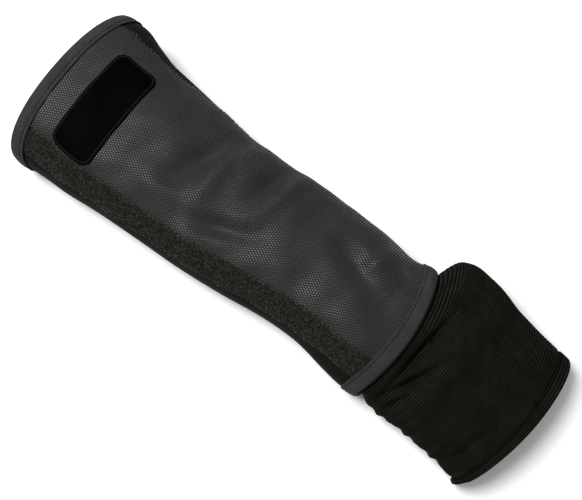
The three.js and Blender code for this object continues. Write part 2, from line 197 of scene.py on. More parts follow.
BAND_WIDTH = 22 * MM
HEM_WIDTH = 8 * MM
TUCK = 4 * MM
FLARE = 11 * MM
GAP = 0.35 * MM
TAPE_STAND = GAP + TAPE_WALL
KNIT_INSET = SHELL_WALL + GAP + TAPE_WALL + GAP
NEAR_SEAM = (55 * MM, 32 * MM)
FAR_SEAM = (-59 * MM, -86 * MM)
UPPER_CORNER = 2.45
LOWER_CORNER = 3.2
WIDEST_AT = 0.46
SINK = 8 * MM
REST_ROUND = 3 * MM
LIFT_RUN = 26 * MM
HEM_BOW_POWER = 1.5
CHART_X_STEPS = 200
CHART_TURN_STEPS = 360
CHART_ARC_STEPS = 1040
CHART_ARC_REACH = 260 * MM
CHART_PAST_ENDS = 0.2
OUTWARD_STEP = 0.02


def table(columns, rows):
    """A short table whose columns have names."""
    return np.array(rows, dtype=[(name, float) for name in columns.split()])


# Sections, as shares of the length, width and height: reach toward -Y and +Y, and height
SHELL_SECTIONS = table("at band_side far_side height", [
    (-0.04, 0.547, 0.400, 0.97),
    (0.00, 0.560, 0.420, 1.00),
    (0.05, 0.550, 0.430, 1.00),
    (0.10, 0.538, 0.400, 0.99),
    (0.16, 0.528, 0.370, 0.97),
    (0.25, 0.498, 0.357, 0.94),
    (0.38, 0.468, 0.337, 0.90),
    (0.50, 0.443, 0.337, 0.88),
    (0.62, 0.403, 0.360, 0.85),
    (0.73, 0.357, 0.373, 0.83),
    (0.83, 0.340, 0.377, 0.83),
    (0.92, 0.359, 0.377, 0.81),
    (0.97, 0.366, 0.388, 0.79),
    (1.01, 0.354, 0.378, 0.78),
    (1.06, 0.346, 0.368, 0.78),
])
CUFF_SECTIONS = table("at band_side far_side height", [
    (-0.15, 0.400, 0.450, 1.03),
    (0.00, 0.390, 0.560, 1.02),
    (0.13, 0.388, 0.612, 1.00),
    (0.27, 0.392, 0.614, 0.96),
    (0.40, 0.380, 0.603, 0.93),
    (0.58, 0.379, 0.572, 0.86),
    (0.81, 0.386, 0.550, 0.76),
    (0.99, 0.412, 0.544, 0.67),
    (1.16, 0.420, 0.534, 0.62),
])

# Folds. at and length: shares of the piece's length. around, from the crown toward the band, and
# width: shares of its width. turn: degrees from X toward the band. rise: share of its height.
SHELL_FOLDS = table("at around turn length width rise", [
    (0.41, -0.15, 106, 0.105, 0.070, -0.068),
    (0.45, -0.04, 84, 0.085, 0.055, 0.035),
    (0.35, 0.16, 0, 0.065, 0.075, 0.030),
    (0.56, -0.21, 97, 0.070, 0.062, -0.062),
    (0.60, -0.20, 95, 0.065, 0.045, 0.025),
    (0.54, 0.14, -18, 0.085, 0.055, -0.050),
    (0.83, -0.10, 17, 0.085, 0.068, -0.052),
    (0.87, -0.20, 110, 0.050, 0.045, 0.030),
    (0.94, -0.31, 60, 0.060, 0.070, -0.055),
    (0.91, 0.17, 0, 0.075, 0.100, 0.030),
    (0.94, 0.38, -10, 0.075, 0.045, -0.035),
])
CUFF_FOLDS = table("at around turn length width rise", [
    (0.21, 0.12, 93, 0.31, 0.055, -0.080),
    (0.30, 0.31, 112, 0.29, 0.055, -0.090),
    (0.33, 0.46, 110, 0.15, 0.050, -0.060),
    (0.42, 0.05, 100, 0.30, 0.080, 0.050),
    (0.86, 0.29, 105, 0.27, 0.060, -0.060),
    (0.62, -0.22, 75, 0.30, 0.090, -0.040),
])


def open_x(turn):
    """Where the open end lies. A turn of 0 is the crown, and a quarter turn the band's side."""
    return OPEN_X + OPEN_SKEW / 2 * np.sin(turn) - OPEN_BOW * np.cos(turn) ** 2


def join_x(turn):
    return JOIN_X + JOIN_SKEW / 2 * np.sin(turn) + JOIN_BOW * np.cos(turn) ** 2


def hem_x(turn):
    bow = np.where(np.cos(turn) > 0, HEM_TOP_BOW, HEM_UNDER_BOW)
    return HEM_X - HEM_SKEW / 2 * np.sin(turn) + bow * np.abs(np.cos(turn)) ** HEM_BOW_POWER


def smooth(value):
    t = np.clip(value, 0, 1)
    return t * t * (3 - 2 * t)


def along(sections, column, at):
    """A smooth curve through one column of a table of sections."""
    places = sections["at"]
    values = sections[column]
    last = len(places) - 1
    before = np.maximum(np.arange(last + 1) - 1, 0)
    after = np.minimum(np.arange(last + 1) + 1, last)
    slopes = (values[after] - values[before]) / (places[after] - places[before])
    at = np.clip(at, places[0], places[-1])
    i = np.clip(np.searchsorted(places, at) - 1, 0, last - 1)
    run = places[i + 1] - places[i]
    t = (at - places[i]) / run
    curve = (2 * t**3 - 3 * t**2 + 1) * values[i] + (3 * t**2 - 2 * t**3) * values[i + 1]
    return curve + run * ((t**3 - 2 * t**2 + t) * slopes[i] + (t**3 - t**2) * slopes[i + 1])


def floor_under(x, turn):
    """Near a binding the cloth lies a tape's thickness off the floor."""
    away = np.minimum(np.abs(x - open_x(turn)), np.abs(x - join_x(turn))) - BINDING_WIDTH
    return TAPE_STAND * (1 - smooth(away / LIFT_RUN))


def rest_on(level, z):
    """A height that runs out smoothly into the floor."""
    above = z - level
    rounded = level + np.maximum(above + REST_ROUND, 0) ** 2 / (4 * REST_ROUND)
    return np.where(above > REST_ROUND, z, rounded)


def bare_section(form, x, turn, level):
    """y and z of the round section without folds."""
    at = (x - form["start"]) / form["length"]
    band_side = form["width"] * along(form["sections"], "band_side", at)
    far_side = form["width"] * along(form["sections"], "far_side", at)
    height = form["height"] * along(form["sections"], "height", at)
    across = np.sin(turn)
    up = np.cos(turn)
    corner = np.where(up > 0, UPPER_CORNER, LOWER_CORNER)
    reach = (np.abs(across) ** corner + np.abs(up) ** corner) ** (-1 / corner)
    widest = WIDEST_AT * height
    half = np.where(up > 0, height - widest, widest + SINK)
    y = (far_side - band_side) / 2 - (far_side + band_side) / 2 * across * reach
    return y, rest_on(level, widest + half * up * reach)


def outward(form, x, turn, level):
    """y and z of the section's outward direction."""
    y0, z0 = bare_section(form, x, turn - OUTWARD_STEP, level)
    y1, z1 = bare_section(form, x, turn + OUTWARD_STEP, level)
    size = np.hypot(z1 - z0, y0 - y1)
    return (z1 - z0) / size, (y0 - y1) / size


def new_form(start, length, width, height, sections, folds):
    """A form, with the lengths round its bare section charted against turn at every x."""
    form = {"start": start, "length": length, "width": width, "height": height}
    form.update(sections=sections, folds=folds)
    reach = CHART_PAST_ENDS * length
    form["xs"] = np.linspace(start - reach, start + length + reach, CHART_X_STEPS + 1)
    form["turns"] = np.linspace(-math.pi, math.pi, CHART_TURN_STEPS + 1)
    y, z = bare_section(form, form["xs"][:, None], form["turns"][None, :], 0.0)
    steps = np.hypot(np.diff(y, axis=1), np.diff(z, axis=1))
    arcs = np.concatenate([np.zeros((len(y), 1)), np.cumsum(steps, axis=1)], axis=1)
    crown = CHART_TURN_STEPS // 2
    form["arcs"] = arcs - arcs[:, crown:crown + 1]
    form["arc_grid"] = np.linspace(-CHART_ARC_REACH, CHART_ARC_REACH, CHART_ARC_STEPS + 1)
    rows = [np.interp(form["arc_grid"], row, form["turns"]) for row in form["arcs"]]
    form["turn_rows"] = np.array(rows)
    return form


def between(grid, row, column):
    """A value from a grid of values, at fractional places in it."""
    r = np.clip(np.floor(row).astype(int), 0, grid.shape[0] - 2)
    c = np.clip(np.floor(column).astype(int), 0, grid.shape[1] - 2)
    fr = np.clip(row - r, 0, 1)
    fc = np.clip(column - c, 0, 1)
    low = (1 - fc) * grid[r, c] + fc * grid[r, c + 1]
    high = (1 - fc) * grid[r + 1, c] + fc * grid[r + 1, c + 1]
    return (1 - fr) * low + fr * high


def grid_place(values, at):
    return (at - values[0]) / (values[1] - values[0])


def arc_at(form, x, turn):
    """The length round the cloth from the crown, at a turn."""
    wrapped = (turn + math.pi) % (2 * math.pi) - math.pi
    return between(form["arcs"], grid_place(form["xs"], x), grid_place(form["turns"], wrapped))


def half_girths(form, x):
    """The lengths round the cloth from the crown to the underside's middle, on its two sides."""
    far = np.interp(x, form["xs"], -form["arcs"][:, 0])
    near = np.interp(x, form["xs"], form["arcs"][:, -1])
    return far, near


def turn_at(form, x, arc):
    """The turn at a length round the cloth from the crown."""
    far, near = half_girths(form, x)
    arc = np.where(arc > near, arc - far - near, arc)
    arc = np.where(arc < -far, arc + far + near, arc)
    return between(form["turn_rows"], grid_place(form["xs"], x), grid_place(form["arc_grid"], arc))


def fold_rise(form, x, turn):
    """How far the folds lift the cloth off its bare section."""
    arc = arc_at(form, x, turn)
    rise = np.zeros(np.broadcast(x, turn).shape)
    for fold in form["folds"]:
        dx = x - (form["start"] + fold["at"] * form["length"])
        dw = arc - fold["around"] * form["width"]
        angle = math.radians(fold["turn"])
        along_fold = dx * math.cos(angle) + dw * math.sin(angle)
        across_fold = dw * math.cos(angle) - dx * math.sin(angle)
        fade = (along_fold / (fold["length"] * form["length"])) ** 2
        shape = (across_fold / (fold["width"] * form["width"])) ** 2
        rise = rise + fold["rise"] * form["height"] * np.exp(-fade - shape)
    return rise


SHELL = new_form(OPEN_X, SHELL_LENGTH, OPEN_WIDTH, OPEN_HEIGHT, SHELL_SECTIONS, SHELL_FOLDS)

# Low ripples of the cloth between its folds: wave length and height, lie in degrees and phase
RIPPLES = table("wave height lie phase", [
    (0.047, 0.00042, 68, 0.4),
    (0.034, 0.00030, 112, 2.1),
    (0.026, 0.00022, 85, 4.0),
    (0.019, 0.00014, 35, 1.3),
    (0.061, 0.00045, 140, 3.2),
])
RIPPLE_FADE = 16 * MM
RIPPLE_LOW = 0.05
RIPPLE_SIDE = 0.5
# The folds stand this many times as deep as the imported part's, as the light shows them
FOLD_DEPTH = 1.5


def ripples(x, turn, arc):
    """Small unevenness of the cloth, none of it at the bindings or on the floor."""
    rise = np.zeros(np.broadcast(x, arc).shape)
    for wave in RIPPLES:
        lie = math.radians(wave["lie"])
        run = x * math.sin(lie) + arc * math.cos(lie)
        rise = rise + wave["height"] * np.sin(2 * math.pi * run / wave["wave"] + wave["phase"])
    from_ends = np.minimum(x - open_x(turn), join_x(turn) - x) - BINDING_WIDTH
    return rise * smooth(from_ends / RIPPLE_FADE) * smooth((np.cos(turn) - RIPPLE_LOW) / RIPPLE_SIDE)


def shell_point(x, turn, off=0.0):
    """A point of the shell's outer face, or at a distance off it: below 0 is inside the sleeve."""
    x, turn, off = np.broadcast_arrays(x, turn, off)
    level = floor_under(x, turn)
    y, z = bare_section(SHELL, x, turn, level)
    ny, nz = outward(SHELL, x, turn, level)
    rise = FOLD_DEPTH * fold_rise(SHELL, x, turn) + ripples(x, turn, arc_at(SHELL, x, turn)) + off
    return np.stack([x, y + ny * rise, z + nz * rise], axis=-1)


LIE_STEP = 0.4 * MM
LIE_TURN_STEP = 0.004


def unit(vectors):
    return vectors / np.linalg.norm(vectors, axis=-1, keepdims=True)


def lie_at(surface, x, turn):
    """A surface's outward direction, and its directions along the sleeve and round it."""
    lengthways = surface(x + LIE_STEP, turn) - surface(x - LIE_STEP, turn)
    round_it = surface(x, turn + LIE_TURN_STEP) - surface(x, turn - LIE_TURN_STEP)
    return unit(np.cross(round_it, lengthways)), unit(lengthways), unit(round_it)


def seam_arc(ends, x):
    """A long seam's distance round the cloth from the crown, from what it is at its two ends."""
    share = np.clip((x - OPEN_X) / SHELL_LENGTH, 0, 1)
    return ends[0] + (ends[1] - ends[0]) * share


def near_seam(x):
    return seam_arc(NEAR_SEAM, x)


def far_seam(x):
    return seam_arc(FAR_SEAM, x)


def low_seam(x):
    return near_seam(x) + BAND_WIDTH


def round_to_far_seam(x):
    far, near = half_girths(SHELL, x)
    return far_seam(x) + far + near


def between_tapes(x, turn, under=0.0):
    """Whether a place lies between the two tapes, or no further than that under one."""
    past_open = x > open_x(turn) + BINDING_WIDTH - under
    return past_open & (x < join_x(turn) - BINDING_WIDTH + under)


def over_floor(points, least=0.0):
    """The same points, with those below a height raised to it."""
    points[:, 2] = np.maximum(points[:, 2], least)
    return points


def grid_mesh(name, points, flat, close_rows=False, close_columns=False, capped=False):
    """A mesh of quads from a grid of points, with each quad corner's place on the flat cloth."""
    rows, columns = points.shape[:2]
    r, c = np.meshgrid(
        np.arange(rows if close_rows else rows - 1),
        np.arange(columns if close_columns else columns - 1),
        indexing="ij",
    )
    grid = [(r, c), (r, c + 1), (r + 1, c + 1), (r + 1, c)]
    quads = np.stack([(i % rows) * columns + j % columns for i, j in grid], axis=-1).reshape(-1, 4)
    uv = np.stack([flat[i, j] for i, j in grid], axis=-2).reshape(-1, 4, 2)
    if capped:
        c = np.arange(columns // 2 - 1)
        for row, order in ((0, 1), (rows - 1, -1)):
            sides = [c, columns - 1 - c, columns - 2 - c, c + 1][::order]
            quads = np.concatenate([quads, np.stack([row * columns + j for j in sides], axis=-1)])
            uv = np.concatenate([uv, np.stack([flat[row, j] for j in sides], axis=-2)])
    corner = points.reshape(-1, 3)[quads]
    volume = (corner[:, 0] * np.cross(corner[:, 1], corner[:, 2])).sum()
    volume += (corner[:, 0] * np.cross(corner[:, 2], corner[:, 3])).sum()
    if volume < 0:
        quads = quads[:, ::-1]
        uv = uv[:, ::-1]
    mesh = bpy.data.meshes.new(name)
    mesh.vertices.add(rows * columns)
    mesh.vertices.foreach_set("co", points.astype(np.float32).ravel())
    mesh.loops.add(quads.size)
    mesh.loops.foreach_set("vertex_index", quads.astype(np.int32).ravel())
    mesh.polygons.add(len(quads))
    mesh.polygons.foreach_set("loop_start", np.arange(0, quads.size, 4, dtype=np.int32))
    mesh.polygons.foreach_set("use_smooth", np.ones(len(quads), bool))
    mesh.update(calc_edges=True)
    layer = mesh.uv_layers.new(name="flat_cloth")
    layer.data.foreach_set("uv", uv.astype(np.float32).ravel())
    mesh.validate()
    return mesh


def add_piece(name, mesh, material=None):
    piece = bpy.data.objects.new(name, mesh)
    bpy.context.scene.collection.objects.link(piece)
    if material:
        mesh.materials.append(material)
    return piece


def mark_points(mesh, name, values):
    """A number, or a direction, on every point of a mesh."""
    kind, field = ("FLOAT_VECTOR", "vector") if values.ndim == 2 else ("FLOAT", "value")
    marks = mesh.attributes.new(name, kind, "POINT")
    marks.data.foreach_set(field, values.astype(np.float32).ravel())


EDGE_STEPS = np.array([0.0, 0.12, 0.35, 0.7, 1.2, 1.9, 2.9, 4.2]) * MM
EDGE_ROUND = 1.2 * MM
SEAM_SINK = 0.75 * MM
SEAM_RUN = 3.0 * MM
SEAM_GAP = -0.05 * MM
STITCH_PITCH = 4 * MM
STITCH_PULL = 0.22
EDGE_FULL = 0.98
PLACE_PASSES = 3
INSIDE_SHIFT = 0.6
PANEL_ROWS = 216


def edge_drop(distance, x):
    """How far cloth rolls down into a seam, deepest where a stitch pulls it."""
    inside = np.clip(1 - distance / EDGE_ROUND, 0, 1)
    roll = EDGE_ROUND * (1 - np.sqrt(1 - inside**2 * EDGE_FULL))
    pull = 1 + STITCH_PULL * np.cos(2 * math.pi * x / STITCH_PITCH)
    return roll + SEAM_SINK * pull * np.exp(-distance / SEAM_RUN)


def panel_piece(name, material, from_arc, to_arc, rows, columns):
    """A panel's wall between two seams: its outer face, then its inner one back again."""
    middle = np.linspace(0, 1, columns)
    inset = EDGE_STEPS[-1]
    fixed = np.concatenate([EDGE_STEPS[:-1], inset * (1 - 2 * middle), -EDGE_STEPS[-2::-1]])
    share = np.concatenate([np.zeros(len(EDGE_STEPS) - 1), middle, np.ones(len(EDGE_STEPS) - 1)])
    t = np.linspace(0, 1, rows)[:, None]
    turn = np.zeros((rows, len(share)))
    for _ in range(PLACE_PASSES):
        first = open_x(turn) + TAPE_STAND
        last = join_x(turn) - TAPE_STAND
        x = first + (last - first) * t
        start = from_arc(x) + SEAM_GAP
        end = to_arc(x) - SEAM_GAP
        arc = start + fixed + share * (end - start)
        turn = turn_at(SHELL, x, arc)
    outer = shell_point(x, turn, -edge_drop(np.minimum(arc - start, end - arc), x))
    inner = shell_point(x, turn, -SHELL_WALL)[:, ::-1]
    flat = np.stack([arc, x], axis=-1)
    shifted = np.stack([arc + INSIDE_SHIFT, x], axis=-1)[:, ::-1]
    points = np.concatenate([outer, inner], axis=1)
    flat = np.concatenate([flat, shifted, flat[:, :1]], axis=1)
    return add_piece(name, grid_mesh(name, points, flat, close_columns=True, capped=True), material)


THREAD_ROUND = 0.6
GRAIN_SCALE = 60.0
GRAIN_ROUGHNESS = 0.85
WEAVE_TONES = (0.1, 0.65)
WEAVE_BUMP = 0.7


def new_group(name, kind, inputs, outputs):
    """An empty node group with those sockets, and its inputs."""
    group = bpy.data.node_groups.new(name, kind)
    for way, sockets in (("INPUT", inputs), ("OUTPUT", outputs)):
        for words, value in sockets.items():
            group.interface.new_socket(words, in_out=way, socket_type="NodeSocket" + value)
    return group, group.nodes.new("NodeGroupInput").outputs


def weave_group():
    """Threads over and under each other, from a flat place on the cloth."""
    inputs = {"Flat Place": "Vector", "Thread Spacing": "Float", "Repeat": "Float"}
    outputs = {"Height": "Float", "Unevenness": "Float"}
    group, source = new_group("woven_threads", "ShaderNodeTree", inputs, outputs)
    per_metre = math_out(group, "DIVIDE", 1.0, source["Thread Spacing"])
    counted = add_node(
        group, "ShaderNodeVectorMath", {0: source["Flat Place"], "Scale": per_metre}, operation="SCALE"
    )
    parts = add_node(group, "ShaderNodeSeparateXYZ", {0: counted.outputs[0]})
    crowns = []
    cells = []
    for axis in ("X", "Y"):
        crowns.append(ridges(group, parts.outputs[axis], math.pi))
        cells.append(math_out(group, "FLOOR", parts.outputs[axis]))
    step = math_out(group, "ADD", cells[0], cells[1])
    order = math_out(group, "FLOORED_MODULO", step, source["Repeat"])
    over = math_out(group, "LESS_THAN", order, 0.5)
    mixed = add_node(group, "ShaderNodeMix", {"Factor": over, "A": crowns[1], "B": crowns[0]})
    rounded = math_out(group, "POWER", mixed.outputs[0], THREAD_ROUND)
    grain = noise_out(group, source["Flat Place"], GRAIN_SCALE, 5.0, Roughness=GRAIN_ROUGHNESS)
    target = group.nodes.new("NodeGroupOutput").inputs
    group.links.new(rounded, target["Height"])
    group.links.new(grain, target["Unevenness"])
    return group


WEAVE = weave_group()


def thread_outputs(tree, flat, spacing, repeat):
    """The woven threads' height and unevenness, at a flat place on the cloth."""
    inputs = {"Flat Place": flat, "Thread Spacing": spacing, "Repeat": repeat}
    return add_node(tree, "ShaderNodeGroup", inputs, node_tree=WEAVE).outputs


def woven(name, dark, light, roughness, spacing, repeat, depth, specular):
    """A woven cloth's material: threads in its bump and tone, on the cloth's flat places."""
    material, tree, shader = new_material(name, dark, roughness, specular)
    flat = add_node(tree, "ShaderNodeUVMap", uv_map="flat_cloth")
    threads = thread_outputs(tree, flat.outputs[0], spacing, repeat)
    raised = math_out(tree, "MULTIPLY", threads["Height"], threads["Unevenness"])
    tint(tree, shader, spread(tree, raised, *WEAVE_TONES), dark, light)
    relief(tree, shader, threads["Height"], depth, WEAVE_BUMP)
    return material


guard_cloth = woven(
    "guard_cloth", (0.0088, 0.0086, 0.0074), (0.021, 0.0206, 0.0188), 0.85, 0.55 * MM, 2, 0.12 * MM,
    specular=0.14,
)
front = panel_piece("front_panel_cloth", guard_cloth, far_seam, near_seam, rows=PANEL_ROWS, columns=66)
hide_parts("front_panel")
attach(front, "root")


# Label
# A bare black patch with rounded corners, moulded with a fine double rim, bonded across the
# guard cloth near the open end. Its raised rim is tinted a lighter grey, a painted highlight.
LABEL_LENGTH = 90 * MM
LABEL_WIDTH = 38 * MM
LABEL_CORNER = 8 * MM
LABEL_WALL = 1 * MM
LABEL_FROM_OPEN = 47 * MM
LABEL_PAST_CROWN = 4 * MM
LABEL_TURN = math.radians(3.5)
LABEL_EDGE = 0.5 * MM
RIM_INSET = 1.7 * MM
RIM_HEIGHT = 0.22 * MM
RIM_HALF = 0.36 * MM
LABEL_COLUMNS = 70
LABEL_ROWS = 16
LABEL_GRAIN = 1400.0
LABEL_GRAIN_DEPTH = 0.03 * MM
LABEL_BLACK = (0.0003, 0.0003, 0.0003)
# The rim's lighter grey is a painted highlight on its rounded top.
RIM_HIGHLIGHT_GREY = (0.0085, 0.0085, 0.0085)
LABEL_INSETS = np.array([
    0, 0.06, 0.15, 0.3, 0.5, 0.8, 1.1, 1.3, 1.45, 1.6, 1.7, 1.8, 1.95, 2.1, 2.3, 2.7, 3.6, 5.0, 6.5, 7.9,
]) * MM


def label_to_cloth(place, side):
    """x and arc on the cloth, of a place along the label and to its side."""
    x = OPEN_X + LABEL_FROM_OPEN + side * math.cos(LABEL_TURN) + place * math.sin(LABEL_TURN)
    arc = LABEL_PAST_CROWN + place * math.cos(LABEL_TURN) - side * math.sin(LABEL_TURN)
    return x, arc


def within_label(x, arc, margin):
    """Whether a place on the cloth lies inside the label's outline, grown by a margin."""
    dx = x - OPEN_X - LABEL_FROM_OPEN
    da = arc - LABEL_PAST_CROWN
    place = np.abs(dx * math.sin(LABEL_TURN) + da * math.cos(LABEL_TURN))
    side = np.abs(dx * math.cos(LABEL_TURN) - da * math.sin(LABEL_TURN))
    past = np.maximum(place - LABEL_LENGTH / 2 + LABEL_CORNER, 0)
    beside = np.maximum(side - LABEL_WIDTH / 2 + LABEL_CORNER, 0)
    return np.hypot(past, beside) < LABEL_CORNER + margin


def rim_rise(inset):
    """The label's face at a distance in from its edge: a rounded edge, then a fine raised rim."""
    rim = RIM_HEIGHT * np.exp(-(((inset - RIM_INSET) / RIM_HALF) ** 2))
    edge = LABEL_EDGE * np.sqrt(np.clip(1 - (1 - inset / LABEL_EDGE) ** 2, 0, 1))
    return rim + np.where(inset < LABEL_EDGE, edge - LABEL_EDGE, 0)


def label_columns():
    """Places across the label's columns: its two short sides' rings, then even steps between."""
    ring = LABEL_LENGTH / 2 - LABEL_INSETS
    corner = LABEL_LENGTH / 2 - LABEL_CORNER
    middle = np.linspace(-corner, corner, LABEL_COLUMNS)
    return np.concatenate([-ring, middle, ring[::-1]])


def label_grid(face):
    """Points, flat places and painted-highlight rim mark of the label's face (1) or underside (0)."""
    place = label_columns()[:, None]
    past = np.maximum(np.abs(place) - (LABEL_LENGTH / 2 - LABEL_CORNER), 0)
    half = LABEL_WIDTH / 2 - LABEL_CORNER + np.sqrt(np.maximum(LABEL_CORNER**2 - past**2, 0))
    shares = 1 - LABEL_INSETS / (LABEL_WIDTH / 2)
    across = np.concatenate([-shares, np.linspace(-0.5, 0.5, LABEL_ROWS), shares[::-1]])[None, :]
    side = half * across
    beside = np.maximum(np.abs(side) - (LABEL_WIDTH / 2 - LABEL_CORNER), 0)
    inset = np.minimum(LABEL_WIDTH / 2 - np.abs(side), LABEL_LENGTH / 2 - np.abs(place))
    inset = np.where((past > 0) & (beside > 0), LABEL_CORNER - np.hypot(past, beside), inset)
    inset = np.maximum(inset, 0)
    place = np.broadcast_to(place, side.shape)
    x, arc = label_to_cloth(place, side)
    off = GAP + face * (LABEL_WALL + rim_rise(inset))
    # The rim mark: where the face is tinted lighter, a painted highlight on the raised rim.
    rim = face * np.exp(-(((inset - RIM_INSET) / RIM_HALF) ** 4))
    return shell_point(x, turn_at(SHELL, x, arc), off), np.stack([place, side], axis=-1), rim


def label_mesh(name):
    """The label's face and its underside as one closed skin, with its rim marked."""
    face, face_flat, rim = label_grid(1)
    under, under_flat, plain = label_grid(0)
    points = np.concatenate([face, under[:, ::-1]], axis=1)
    flat = np.concatenate([face_flat, under_flat[:, ::-1], face_flat[:, :1]], axis=1)
    mesh = grid_mesh(name, points, flat, close_columns=True, capped=True)
    mark_points(mesh, "rim", np.concatenate([rim, plain[:, ::-1]], axis=1).ravel())
    return mesh


label_finish, tree, shader = new_material("label_black", LABEL_BLACK, 0.6, specular=0.01)
# Painted highlight: the raised rim is tinted a lighter grey than the black face.
rim = add_node(tree, "ShaderNodeAttribute", attribute_name="rim").outputs["Fac"]
tint(tree, shader, rim, LABEL_BLACK, RIM_HIGHLIGHT_GREY)
place = add_node(tree, "ShaderNodeTexCoord").outputs["Object"]
relief(tree, shader, noise_out(tree, place, LABEL_GRAIN, 3.0), LABEL_GRAIN_DEPTH, 0.5)
label = add_piece("label_patch_face", label_mesh("label_patch_face"), label_finish)
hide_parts("label_patch")
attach(label, "root")


# Guard dots
# Small hard plates of grey resin printed on the guard cloth in a close staggered lattice. Their
# flat tops glint where the cloth faces the light. There are none under the label and the tape.
DOT_PITCH = 2.13 * MM
DOT_ROWS = 1.85 * MM
DOT_WIDTH = 1.50 * MM
DOT_HEIGHT = 0.20 * MM
DOT_TOP = 0.40
DOT_SIDES = 8
DOT_COLUMNS = 45
DOT_SIZES = (0.94, 1.05)
DOT_UNDER = 0.9 * MM
DOT_SEAM_MARGIN = 1.6 * MM
# Spots of dust and wear on the plates: limits of a noise, and the tone or roughness they give
DUST_SCALE = 24.0
WORN_TONES = (0.38, 0.64, 0.12, 1.0)
SCUFF_ROUGHNESS = (0.3, 0.7, 0.42, 0.56)
TONE_STEP = 0.37


def scatter_tree(name, sizes):
    """A node tree that puts a small shape on every point, turned to the cloth under it."""
    inputs = {"Geometry": "Geometry", **dict.fromkeys(sizes, "Float"), "Finish": "Material"}
    return new_group(name, "GeometryNodeTree", inputs, {"Geometry": "Geometry"})


def end_tree(tree, source, shape, smooth=True):
    """The shape on every point, made real, shaded and finished."""

    def named(name, kind):
        return add_node(tree, "GeometryNodeInputNamedAttribute", {"Name": name}, data_type=kind).outputs[0]

    turned = add_node(
        tree, "FunctionNodeAxesToRotation",
        {"Primary Axis": named("out", "FLOAT_VECTOR"), "Secondary Axis": named("lie", "FLOAT_VECTOR")},
        primary_axis="Z", secondary_axis="X",
    )
    placed = add_node(
        tree, "GeometryNodeInstanceOnPoints",
        {
            "Points": source["Geometry"], "Instance": shape,
            "Rotation": turned.outputs[0], "Scale": named("size", "FLOAT"),
        },
    )
    real = add_node(tree, "GeometryNodeRealizeInstances", {"Geometry": placed.outputs[0]})
    even = add_node(
        tree, "GeometryNodeSetShadeSmooth", {"Geometry": real.outputs[0], "Shade Smooth": smooth}
    )
    finished = add_node(
        tree, "GeometryNodeSetMaterial", {"Geometry": even.outputs[0], "Material": source["Finish"]}
    )
    target = tree.nodes.new("NodeGroupOutput")
    tree.links.new(finished.outputs[0], target.inputs[0])
    return tree


def scatter(name, tree, spots, finish, sizes):
    """A piece of many small shapes, one at each spot, as one plain mesh."""
    mesh = bpy.data.meshes.new(name)
    mesh.vertices.add(len(spots["place"]))
    mesh.vertices.foreach_set("co", spots["place"].astype(np.float32).ravel())
    for key in ("out", "lie", "size", "tone"):
        mark_points(mesh, key, spots[key])
    piece = add_piece(name, mesh)
    modifier = piece.modifiers.new(name, "NODES")
    modifier.node_group = tree
    values = dict(sizes, Finish=finish)
    for socket in tree.interface.items_tree:
        if socket.in_out == "INPUT" and socket.name in values:
            modifier[socket.identifier] = values[socket.name]
    depsgraph = bpy.context.evaluated_depsgraph_get()
    made = bpy.data.meshes.new_from_object(piece.evaluated_get(depsgraph), depsgraph=depsgraph)
    piece.modifiers.clear()
    piece.data = made
    made.name = name
    for key in ("out", "lie", "size"):
        if key in made.attributes:
            made.attributes.remove(made.attributes[key])
    bpy.data.meshes.remove(mesh)
    return piece


def plate_tree():
    """A low flat-topped plate whose foot is just below the cloth's face."""
    tree, source = scatter_tree("plates", ["Width", "Height", "Sides"])
    cone = add_node(
        tree, "GeometryNodeMeshCone",
        {
            "Vertices": source["Sides"], "Depth": source["Height"],
            "Radius Top": math_out(tree, "MULTIPLY", source["Width"], DOT_TOP),
            "Radius Bottom": math_out(tree, "MULTIPLY", source["Width"], 0.5),
        },
        fill_type="NGON",
    )
    return end_tree(tree, source, cone.outputs["Mesh"], smooth=False)


def spots_of(place, out, lie, scales, chance=None):
    """Spots of small shapes, with sizes and tones by chance, or one size and tones in even steps."""
    count = len(place)
    size = np.full(count, scales) if chance is None else chance.uniform(*scales, count)
    tone = np.arange(count) * TONE_STEP % 1 if chance is None else chance.uniform(0, 1, count)
    return {"place": place, "out": out, "lie": lie, "size": size, "tone": tone}


def dot_spots(x_from, x_to, seed):
    """The lattice's places on the cloth between two x, with each dot's direction and tone."""
    first_row = math.ceil(x_from / DOT_ROWS)
    rows = np.arange(first_row, math.ceil(x_to / DOT_ROWS))
    columns = np.arange(-DOT_COLUMNS, DOT_COLUMNS + 1)
    row, column = np.meshgrid(rows, columns, indexing="ij")
    x = (row * DOT_ROWS).ravel()
    arc = ((column + 0.5 * (row % 2)) * DOT_PITCH).ravel()
    turn = turn_at(SHELL, x, arc)
    kept = (arc > far_seam(x) + DOT_SEAM_MARGIN) & (arc < near_seam(x) - DOT_SEAM_MARGIN)
    kept &= between_tapes(x, turn, DOT_UNDER) & ~within_label(x, arc, -DOT_UNDER)
    x, turn = x[kept], turn[kept]
    chance = np.random.default_rng(seed)
    out, _, round_it = lie_at(shell_point, x, turn)
    return spots_of(shell_point(x, turn, 0.0), out, round_it, DOT_SIZES, chance)


resin, tree, shader = new_material("guard_resin", (0.040, 0.0405, 0.044), 0.5, specular=0.34)
tone = add_node(tree, "ShaderNodeAttribute", attribute_name="tone").outputs["Fac"]
dust = noise_out(tree, add_node(tree, "ShaderNodeTexCoord").outputs["Object"], DUST_SCALE, 6.0)
worn = math_out(tree, "MULTIPLY", tone, spread(tree, dust, *WORN_TONES))
tint(tree, shader, worn, (0.015, 0.0152, 0.0165), (0.031, 0.0315, 0.0345))
tree.links.new(spread(tree, dust, *SCUFF_ROUGHNESS), shader.inputs["Roughness"])

